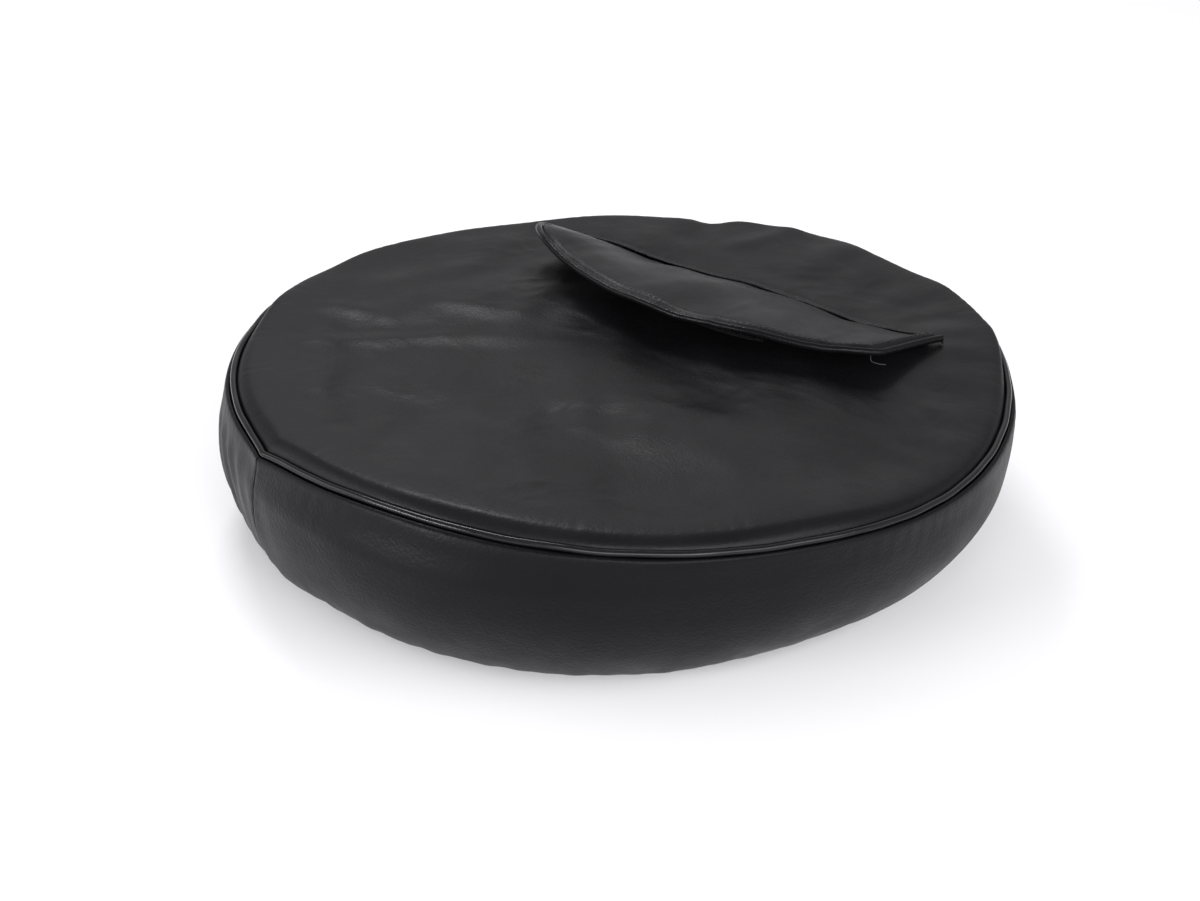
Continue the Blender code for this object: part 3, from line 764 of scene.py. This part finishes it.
def build_band():
    """The band: one strip whose two ends meet at the seam and turn inwards."""
    step = 0.5 * MM
    angles = SEAM + np.concatenate([
        np.linspace(0.0, 0.04, 14)[:-1],
        np.linspace(0.04, math.tau - 0.04, 720)[:-1],
        np.linspace(math.tau - 0.04, math.tau, 14),
    ])
    r, z = band_profile.T
    ends = np.zeros((len(angles), 1))
    ends[0], ends[-1] = step, -step
    a = angles[:, None] + ends / r
    mid = around(r, a, z)
    normal = grid_normals(mid)
    if normal[5, 30] @ np.array([math.cos(angles[5]), math.sin(angles[5]), 0]) < 0:
        normal = -normal
    mid = mid + normal * band_relief(a, band_run[None] + np.zeros_like(a))[..., None]
    mid[..., 2] += gather(a) * (1.0 - smooth(0.160, 0.172, r))
    body = sheet_of("gusset_band_skin", slump(mid), SHEET, BAND_SKIN_PAINTED_DARKER)
    on(body, "cover", "black_leatherette", "gusset_band")
    rows = slice(24, 78)
    t = np.linspace(0.0, 1.0, 6)[:, None, None]
    for number, end, beside, sign in ((1, 0, 1, 1.0), (2, -1, -2, -1.0)):
        aside = np.stack([-np.sin(a[end]), np.cos(a[end]), np.zeros(len(r))], -1) * (sign * 0.25 * MM)
        near = mid[end] - normal[end] * (0.2 * MM) + aside
        far = near - normal[beside] * (9.0 * MM)
        strip = near[None, rows] * (1 - t) + far[None, rows] * t
        allowance = sheet_of(f"gusset_seam_allowance_{number}", slump(strip), SHEET, BAND_SKIN_PAINTED_DARKER)
        on(allowance, "cover", "black_leatherette")


build_band()


# ---------------- elastic hem
def build_hem():
    """The casing: a gathered tube with two lips sewn over the band's edge."""
    bead = 3.8 * MM
    wall = 0.8 * MM
    high, low = 3.6 * MM, 1.0 * MM
    points = [(HEM_LIP_END, high), (HEM_R + 9 * MM, high)]
    start = math.degrees(math.asin((high - HEM_Z) / bead))
    stop = 360.0 + math.degrees(math.asin((low - HEM_Z) / bead))
    for k in range(13):
        t = math.radians(start + (stop - start) * k / 12)
        points.append((HEM_R + bead * math.cos(t), HEM_Z + bead * math.sin(t)))
    points += [(HEM_R + 9 * MM, low), (HEM_LIP_END, low)]
    profile = curve_through(points, 46)
    out = profile_normals(profile) * wall / 2
    angles = np.linspace(0.0, math.tau, 601)[:-1]
    grids = []
    for side in (profile + out, profile - out):
        a = angles[:, None] + np.zeros(len(side))
        ruffle = np.cos(174 * a + 2.0 * np.sin(7 * a)) * 0.35 * MM
        ruffle = ruffle + waves(31, 9, 0.02, 0.05, np.cos(a) * 0.15, np.sin(a) * 0.15) * 0.15 * MM
        inner = 1.0 - smooth(HEM_R + 2 * MM, HEM_R + 8 * MM, side[:, 0])
        grids.append(slump(around(side[:, 0] + ruffle * inner, a, side[:, 1] + gather(a) + ruffle * 0.4 * inner)))
    obj = shell("rear_hem_skin", grids[0], grids[1], BAND_SKIN_PAINTED_DARKER, wrap_u=True)
    on(obj, "cover", "black_leatherette", "rear_hem_casing")


build_hem()
elastic_path = slump(around(HEM_R, ring_angle, HEM_Z + gather(ring_angle)))
elastic = tube("rear_elastic_braid", elastic_path, ELASTIC_R, ELASTIC, closed=True, sides=12)
on(elastic, "cover", "black_elastic", "rear_elastic_cord")
crimp_path = elastic_path[np.abs(turned(ring_angle, math.radians(183.75))) < 0.047]
crimp_size = 1.0 + 0.06 * np.cos(np.linspace(0.0, 6.0 * math.pi, len(crimp_path)))
ferrule = tube("elastic_ferrule_detail", crimp_path, 2.8 * MM, STEEL, sides=20, taper=crimp_size)
on(ferrule, "cover", "plated_ferrule", "elastic_join_ferrule")

hem_stitch_angle = np.linspace(0.0, math.tau, 1200)
for row, r in enumerate((HEM_R + 6.2 * MM, HEM_LIP_END - 2.0 * MM)):
    p = around(r, hem_stitch_angle, 0.55 * MM + gather(hem_stitch_angle))
    line = stitches(f"hem_stitching_{row + 1}", slump(p), -upward(len(p)), 3.2 * MM, 0.9 * MM, 0.28 * MM, THREAD)
    on(line, "cover", "black_thread")


# ---------------- pocket under the face
def pocket_front():
    """Cloth against the underside of the face."""
    low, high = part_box("pocket_front_sheet")
    x, y = plain_grid((low.x, high.x), (low.y, high.y), 60, 40)
    z = (low.z + high.z) / 2 - 0.3 * MM + face_relief(x, y)
    obj = sheet_of("pocket_front_cloth", slump(np.stack([x, y, z], -1)), CLOTH_SHEET, CLOTH)
    on(obj, "cover", "black_pocket_cloth", "pocket_front_sheet")


def pocket_back():
    """The bag's back: hangs slack from its sewn margin."""
    low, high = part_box("pocket_back_sheet")
    x, y = plain_grid((low.x, high.x), (low.y, high.y), 110, 80)
    u = np.abs(x - (low.x + high.x) / 2) / ((high.x - low.x) / 2 - 9 * MM)
    v = np.abs(y - (low.y + high.y) / 2) / ((high.y - low.y) / 2 - 9 * MM)
    inside = (1 - smooth(0.90, 1.0, u)) * (1 - smooth(0.86, 1.0, v))
    slack = waves(41, 16, 0.03, 0.09, x, y) * 0.9 * MM + waves(42, 10, 0.012, 0.025, x, y) * 0.15 * MM
    z = high.z - 0.4 * MM - inside * (11.0 * MM + slack) + face_relief(x, y) * (1 - inside)
    z = np.maximum(z, low.z - 0.5 * MM)
    obj = sheet_of("pocket_back_cloth", slump(np.stack([x, y, z], -1)), CLOTH_SHEET, CLOTH)
    on(obj, "cover", "black_pocket_cloth", "pocket_back_sheet")


def pocket_binding():
    """Folded strip over the slit's near lip."""
    low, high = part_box("pocket_mouth_binding")
    lip = HINGE.y - SLIT_WIDTH
    points = [(lip - 8.0 * MM, high.z - 0.1 * MM), (lip - 1.0 * MM, high.z), (lip + 0.5 * MM, high.z - 0.6 * MM),
              (lip + 0.7 * MM, FACE_TOP - 1.0 * MM), (lip + 0.5 * MM, low.z + 0.6 * MM), (lip - 1.0 * MM, low.z),
              (lip - 8.0 * MM, low.z)]
    profile = curve_through(points, 30)
    xx, yy = np.meshgrid(np.linspace(low.x, high.x, 90), profile[:, 0], indexing="ij")
    zz = profile[:, 1] + face_relief(xx, yy) + lip_relief(np.stack([xx, yy], -1))
    obj = sheet_of("pocket_binding_skin", slump(np.stack([xx, yy, zz], -1)), 0.5 * MM, FLAP_SKIN_PAINTED_LIGHTER)
    on(obj, "cover", "black_leatherette", "pocket_mouth_binding")


pocket_front()
pocket_back()
pocket_binding()


def tape(name, node, mat, body, slot, place):
    """A hook or loop tape: a thin slab with a rough pile surface and a flat sewn edge."""
    half, wide, middle = 0.05, 0.010, 0.052
    x, y = plain_grid((-half, half), (middle - wide, middle + wide), 160, 44)
    edge = np.minimum(half - np.abs(x), wide - np.abs(y - middle))
    pile = smooth(0.2 * MM, 1.8 * MM, edge)
    bristle = waves(51, 24, 1.4 * MM, 2.6 * MM, x, y) * 0.12 * MM
    top = place(x, y, 0.35 * MM + pile * (0.65 * MM + bristle))
    on(shell(name, top, place(x, y, np.zeros_like(x)), mat), body, slot, node)


def on_face(x, s, n):
    """A point n above the face, s from the hinge line."""
    y = HINGE.y - s
    return slump(np.stack([x, y, FACE_TOP + face_relief(x, y) + 0.1 * MM + n], -1))


tape("pocket_loop_pile", "pocket_loop_tape", PILE, "cover", "black_hook_and_loop", on_face)

# ---------------- flap
def flap_rise(x, s):
    """Slope of the resting flap: it springs up at the fold, levels out, and curls at its -X end."""
    t = x / (FLAP_HALF + PIPE_R)
    base = 0.3960 - 0.1181 * t + 0.0334 * t * t - 0.0710 * t ** 3
    return base + (-0.1885 + 0.0929 * t) * s / 0.1


def hinge_dip(x, s):
    """The flap lies low where it comes out of the slit, and not at its ends."""
    inside = 1.0 - smooth(SLIT_HALF - 5.0 * MM, SLIT_HALF + 1.5 * MM, np.abs(x))
    left = np.clip(1.0 - np.maximum(s, 0.0) / (34.0 * MM), 0.0, 1.0)
    droop = 1.0 - smooth(-0.75, 0.30, x / SLIT_HALF)
    u = np.clip(s / (64.0 * MM), 0.0, 1.0)
    belly = 3.08 * np.sqrt(u) * (1.0 - u) ** 1.5
    t = x / FLAP_HALF
    sway = 1.0 * np.exp(-((t + 0.45) / 0.15) ** 2) - 2.0 * np.exp(-((t - 0.08) / 0.20) ** 2)
    sway = sway + 2.0 * np.exp(-((t - 0.53) / 0.13) ** 2)
    sway = sway * MM * smooth(30.0 * MM, 88.0 * MM, s)
    ear = sway + 2.2 * MM * smooth(0.86, 1.0, x / FLAP_HALF) * (1.0 - smooth(0.0, 50.0 * MM, s))
    return ear - 3.3 * MM * left ** 1.5 * inside - 2.9 * MM * droop * belly


def flap_middle(x, s):
    """Mid-surface of the flap over the undisturbed cover."""
    rise = flap_rise(x, s)
    flat = 1.0 / np.sqrt(1.0 + rise * rise)
    y = HINGE.y - s * flat
    z = HINGE.z + s * rise * flat + face_relief(x, np.full(np.shape(x), HINGE.y)) + hinge_dip(x, s)
    t = x / FLAP_HALF
    drift = (4.4 - 0.155 * s / MM) * MM * smooth(0.70, 1.0, t) + 1.0 * MM * smooth(0.6, 1.0, -t)
    return np.stack([x + drift + np.zeros_like(s), y, z + np.zeros_like(s)], -1)


def flap_point(x, s, n):
    """A point n above the flap's mid-surface, slumped with the cover."""
    x, s = np.broadcast_arrays(np.asarray(x, float), np.asarray(s, float))
    e = 0.5 * MM
    along = flap_middle(x, s + e) - flap_middle(x, s - e)
    across = flap_middle(x + e, s) - flap_middle(x - e, s)
    return slump(flap_middle(x, s) + unit(np.cross(along, across)) * np.asarray(n)[..., None])


FALL = FLAP_MIDDLE - FLAP_SIDE
CORNER_LEAN = math.atan(2.0 * FALL / FLAP_HALF)
CORNER_TAN = math.tan((math.pi / 2 - CORNER_LEAN) / 2)


def flap_edge(x, inset):
    """Where the flap's free edge is, drawn in by an inset: a shallow arch with a rounded corner at each end."""
    lean = 2.0 * FALL * np.abs(x) / FLAP_HALF ** 2
    edge = FLAP_MIDDLE - FALL * (x / FLAP_HALF) ** 2 - inset * np.sqrt(1.0 + lean * lean)
    radius = np.where(np.asarray(x) < 0.0, FLAP_CORNERS[-1], FLAP_CORNERS[1]) - inset
    beyond = np.clip((np.abs(x) - (FLAP_HALF - inset - radius)) / radius, 0.0, 1.0)
    return edge - radius * CORNER_TAN * (1.0 - np.sqrt(1.0 - beyond * beyond))


def flap_outline(inset, start, count):
    """Even points (x, s) round the flap's sides and free edge."""
    ends = []
    for side in (-1, 1):
        half = FLAP_HALF - inset
        radius = FLAP_CORNERS[side] - inset
        first = float(flap_edge(np.array(side * half), inset))
        run = [(side * half, start), (side * half, first)]
        for k in range(1, 25):
            x = side * (half - radius + radius * math.cos(math.pi / 2 * k / 24))
            run.append((x, float(flap_edge(np.array(x), inset))))
        last = run[-1][0]
        for k in range(1, 41):
            x = last * (1.0 - k / 40)
            run.append((x, float(flap_edge(np.array(x), inset))))
        ends.append(run)
    return resample(ends[0][:-1] + ends[1][::-1], count)


def columns(half, count):
    """Places along the flap, closer together at the ends."""
    t = np.linspace(-1.0, 1.0, count)
    return half * np.sin(t * math.pi / 2 * 0.92) / math.sin(math.pi / 2 * 0.92)


def flap_relief(x, s):
    """Soft relief of the flap's top."""
    return waves(61, 12, 0.04, 0.11, x, s) * 0.30 * MM + waves(62, 10, 0.016, 0.03, x, s) * 0.05 * MM


def skin_dip(x, s):
    """The outer sheet comes down further where nothing lies under it."""
    inside = 1.0 - smooth(SLIT_HALF - 4.0 * MM, SLIT_HALF + 1.0 * MM, np.abs(x))
    return -1.0 * MM * (1.0 - smooth(0.0, 10.0 * MM, s)) * inside


def flap_grid(x, inset, start, rows):
    """Grids of x, of s from a start to the free edge, and of the distance from the nearest edge."""
    end = flap_edge(x, inset)
    s = np.minimum(start, end)[:, None] + (end[:, None] - start) * np.linspace(0.0, 1.0, rows)[None]
    xx = x[:, None] + np.zeros_like(s)
    return xx, s, np.minimum(FLAP_HALF - inset - np.abs(xx), end[:, None] - s)


def flap_panel():
    """The flap's outer sheet, from its margin under the face, through the slit, to its free edge."""
    level, thick = 1.1 * MM, 1.0 * MM
    start = 3.0 * MM
    x = columns(FLAP_HALF - FLAP_INSET, 190)
    xx, s, side = flap_grid(x, FLAP_INSET, start, 70)
    roll = -2.5 * MM * np.exp(-(side / (2.5 * MM)) ** 2.6)
    groove = -0.22 * MM * np.exp(-((side - 3.8 * MM) / (0.7 * MM)) ** 2)
    up = level + flap_relief(xx, s) * smooth(0.0, 0.01, side) + roll + groove + skin_dip(xx, s)
    mid_main = (flap_point(xx, s, up + 0.5 * MM) + flap_point(xx, s, up - 0.5 * MM)) / 2
    ear = smooth(SLIT_HALF - 5.0 * MM, SLIT_HALF - 2.0 * MM, np.abs(x))
    root_s = np.linspace(-9.0 * MM, 2.4 * MM, 16)
    rs = root_s[None] * (1 - ear[:, None]) + np.linspace(1.6 * MM, 2.4 * MM, 16)[None] * ear[:, None]
    rx = x[:, None] + np.zeros_like(rs)
    under = FACE_TOP - SHEET - 0.9 * MM
    first = np.full_like(rs, start)
    above = flap_middle(rx, first)[..., 2] + level + skin_dip(rx, first)
    base = under + face_relief(rx, np.full(rx.shape, HINGE.y))
    rise = smooth(-2.5 * MM, 3.4 * MM, rs)
    ry = HINGE.y - rs * np.where(rs > 0, 0.95, 1.0) - 0.8 * MM * rise * (1 - smooth(2 * MM, 3 * MM, rs))
    rz = base + (above - base) * rise
    mid_root = slump(np.stack([rx, ry, rz], -1))
    obj = sheet_of("flap_outer_skin", np.concatenate([mid_root[:, :-1], mid_main], 1), thick, FLAP_SKIN_PAINTED_LIGHTER)
    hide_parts("flap_outer_panel", "flap_root_margin")
    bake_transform(obj)


def flap_layer(name, inset, start, level, thick, mat, slot, *nodes):
    """An inner sheet of the flap."""
    xx, s, side = flap_grid(columns(FLAP_HALF - inset, 120), inset, start, 40)
    up = level + (-0.8 * MM * np.exp(-(side / (2.4 * MM)) ** 2) if level < 0 else 0.0) + np.zeros_like(s)
    obj = shell(name, flap_point(xx, s, up + thick / 2), flap_point(xx, s, up - thick / 2), mat)
    on(obj, "flap", slot, *nodes)


flap_panel()
flap_layer("flap_lining_cloth", FLAP_INSET, 17.0 * MM, -1.15 * MM, 0.7 * MM,
           CLOTH, "black_pocket_cloth", "flap_lining_panel")
flap_layer("flap_stiffener_board", 12.5 * MM, 17.5 * MM, 0.0, 0.8 * MM,
           BOARD, "grey_stiffener", "flap_stiffener_sheet")

x, s = flap_outline(0.0, 2.6 * MM, 420).T
edge_up = flap_point(x, s, 1.0 * MM) - flap_point(x, s, 0.0)
flap_bead = tube("flap_piping_skin", flap_point(x, s, -0.8 * MM), PIPE_R, BEAD_SKIN_PAINTED_DARKER, sides=14, ups=edge_up)
on(flap_bead, "flap", "black_gloss_piping", "flap_piping_cover", "flap_piping_cord")

x, s = flap_outline(5.7 * MM, 5.0 * MM, 700).T
stitch_up = flap_point(x, s, 1.0 * MM) - flap_point(x, s, 0.0)
stitch_path = flap_point(x, s, 1.32 * MM + flap_relief(x, s))
flap_row = stitches("flap_topstitching", stitch_path, stitch_up, *FINE_STITCH, THREAD)
on(flap_row, "flap", "black_thread", "flap_topstitch_thread")

hinge_p = np.stack([np.linspace(-SLIT_HALF, SLIT_HALF, 400), np.full(400, HINGE.y + 4.5 * MM), np.zeros(400)], 1)
hinge_p[:, 2] = FACE_TOP + 0.08 * MM + face_relief(hinge_p[:, 0], hinge_p[:, 1]) + lip_relief(hinge_p)
hinge_row = stitches("hinge_topstitching", slump(hinge_p), upward(400), *FINE_STITCH, THREAD)
on(hinge_row, "cover", "black_thread", "hinge_topstitch_thread")


def under_flap(x, s, n):
    """A point n below the flap's lining."""
    return flap_point(x, s, -1.55 * MM - np.asarray(n))


tape("flap_hook_pile", "flap_hook_tape", HOOKS, "flap", "black_hook_and_loop", under_flap)

# Loose ends at the flap's +X end: a piping tail with its cut core, and a thread end.
# Points in millimetres, before the slump.
TAIL = ((127.6, 119.4, 108.8), (130.6, 118.0, 108.6), (131.4, 117.0, 107.9),
        (130.4, 115.8, 107.0), (129.8, 114.3, 106.4))
CORE_END = ((129.9, 114.6, 106.45), (129.8, 113.6, 106.3), (129.7, 112.4, 106.2), (129.6, 111.6, 106.15))
LOOSE = ((117.6, 64.6, 116.0), (118.4, 63.4, 114.4), (120.2, 63.0, 113.5),
         (123.6, 64.4, 113.0), (126.4, 66.2, 112.9))
tail = slump(resample(curve_through(np.array(TAIL) * MM, 24), 24))
on(tube("flap_piping_tail", tail, 0.55 * MM, PIPING, sides=10), "flap", "black_gloss_piping")
core_end = slump(np.array(CORE_END) * MM)
on(tube("flap_piping_core_end", core_end, 0.75 * MM, CORE, sides=10), "flap", "pale_piping_core")
loose = slump(resample(curve_through(np.array(LOOSE) * MM, 30), 30))
on(tube("flap_loose_thread", loose, 0.25 * MM, THREAD, sides=8), "flap", "black_thread")

# ---------------- studio
COOL = (0.985, 0.975, 1.0)
FLOOR_HALF = 6.0
CAMERA_AZIMUTH = math.radians(38.4)
CAMERA_HEIGHT = 0.4779    # elevation, in radians
CAMERA_AWAY = 1.3
CAMERA_LENS = 70.09
LIGHTS = (
    # name, place as right, away and up, height of the aim, width, height, power
    ("key", (-0.42, 1.02, 1.55), 0.05, 0.7, 0.30, 12.4),
    ("back", (-0.10, 1.80, 0.72), 0.05, 1.5, 0.6, 0.75),
    ("high_right", (0.7, 1.3, 1.3), 0.05, 1.2, 0.8, 1.45),
    ("side", (-1.55, -0.98, 0.36), 0.07, 0.8, 0.20, 21.0),
    ("front", (0.0, -2.3, 0.9), 0.05, 1.8, 1.0, 43),
    ("front_right", (1.4, -1.6, 1.15), 0.0, 2.2, 1.4, 44),
    ("left", (-2.1, 0.0, 0.9), 0.05, 1.6, 1.0, 13.0),
    ("right", (2.1, 0.0, 0.9), 0.05, 1.6, 1.0, 2.0),
)


def area_light(name, place, aim, width, height, power):
    """A soft rectangular light."""
    data = bpy.data.lights.new(name, "AREA")
    data.shape = "RECTANGLE"
    data.size, data.size_y = width, height
    data.energy = power
    data.color = COOL
    obj = bpy.data.objects.new(name, data)
    obj.location = place
    obj.rotation_euler = (aim - place).to_track_quat("-Z", "Y").to_euler()
    bpy.context.scene.collection.objects.link(obj)


def build_stage():
    """Pale floor, soft lights, camera."""
    paint = Paint("studio_floor")
    paint.blotch("Base Color", 3.0, 2.0, (0.90, 0.90, 0.905), (0.92, 0.92, 0.925))
    paint.put(Roughness=0.9)
    corners = [(x * FLOOR_HALF, y * FLOOR_HALF, 0.0) for x, y in ((-1, -1), (1, -1), (1, 1), (-1, 1))]
    make("studio_floor", corners, [(0, 1, 2, 3)], paint.mat)
    world = bpy.data.worlds.new("studio")
    bpy.context.scene.world = world
    world.use_nodes = True
    sky = world.node_tree.nodes["Background"].inputs
    sky["Color"].default_value = (*COOL, 1.0)
    sky["Strength"].default_value = 0.435
    right = Vector((math.cos(CAMERA_AZIMUTH), math.sin(CAMERA_AZIMUTH), 0.0))
    away = Vector((-math.sin(CAMERA_AZIMUTH), math.cos(CAMERA_AZIMUTH), 0.0))
    up = Vector((0, 0, 1))
    for name, (beside, behind, above), aim, width, height, power in LIGHTS:
        place = right * beside + away * behind + up * above
        area_light(name, place, up * aim, width, height, power)
    target = up * 0.0454 - right * 0.014
    camera = bpy.data.cameras.new("camera")
    camera.sensor_width = 36.0
    camera.lens = CAMERA_LENS
    camera.clip_start, camera.clip_end = 0.05, 50.0
    obj = bpy.data.objects.new("camera", camera)
    obj.location = target + (up * math.sin(CAMERA_HEIGHT) - away * math.cos(CAMERA_HEIGHT)) * CAMERA_AWAY
    obj.rotation_mode = "QUATERNION"
    obj.rotation_quaternion = (target - obj.location).to_track_quat("-Z", "Y")
    bpy.context.scene.collection.objects.link(obj)
    bpy.context.scene.camera = obj
    bpy.context.scene.view_settings.view_transform = "Standard"


build_stage()
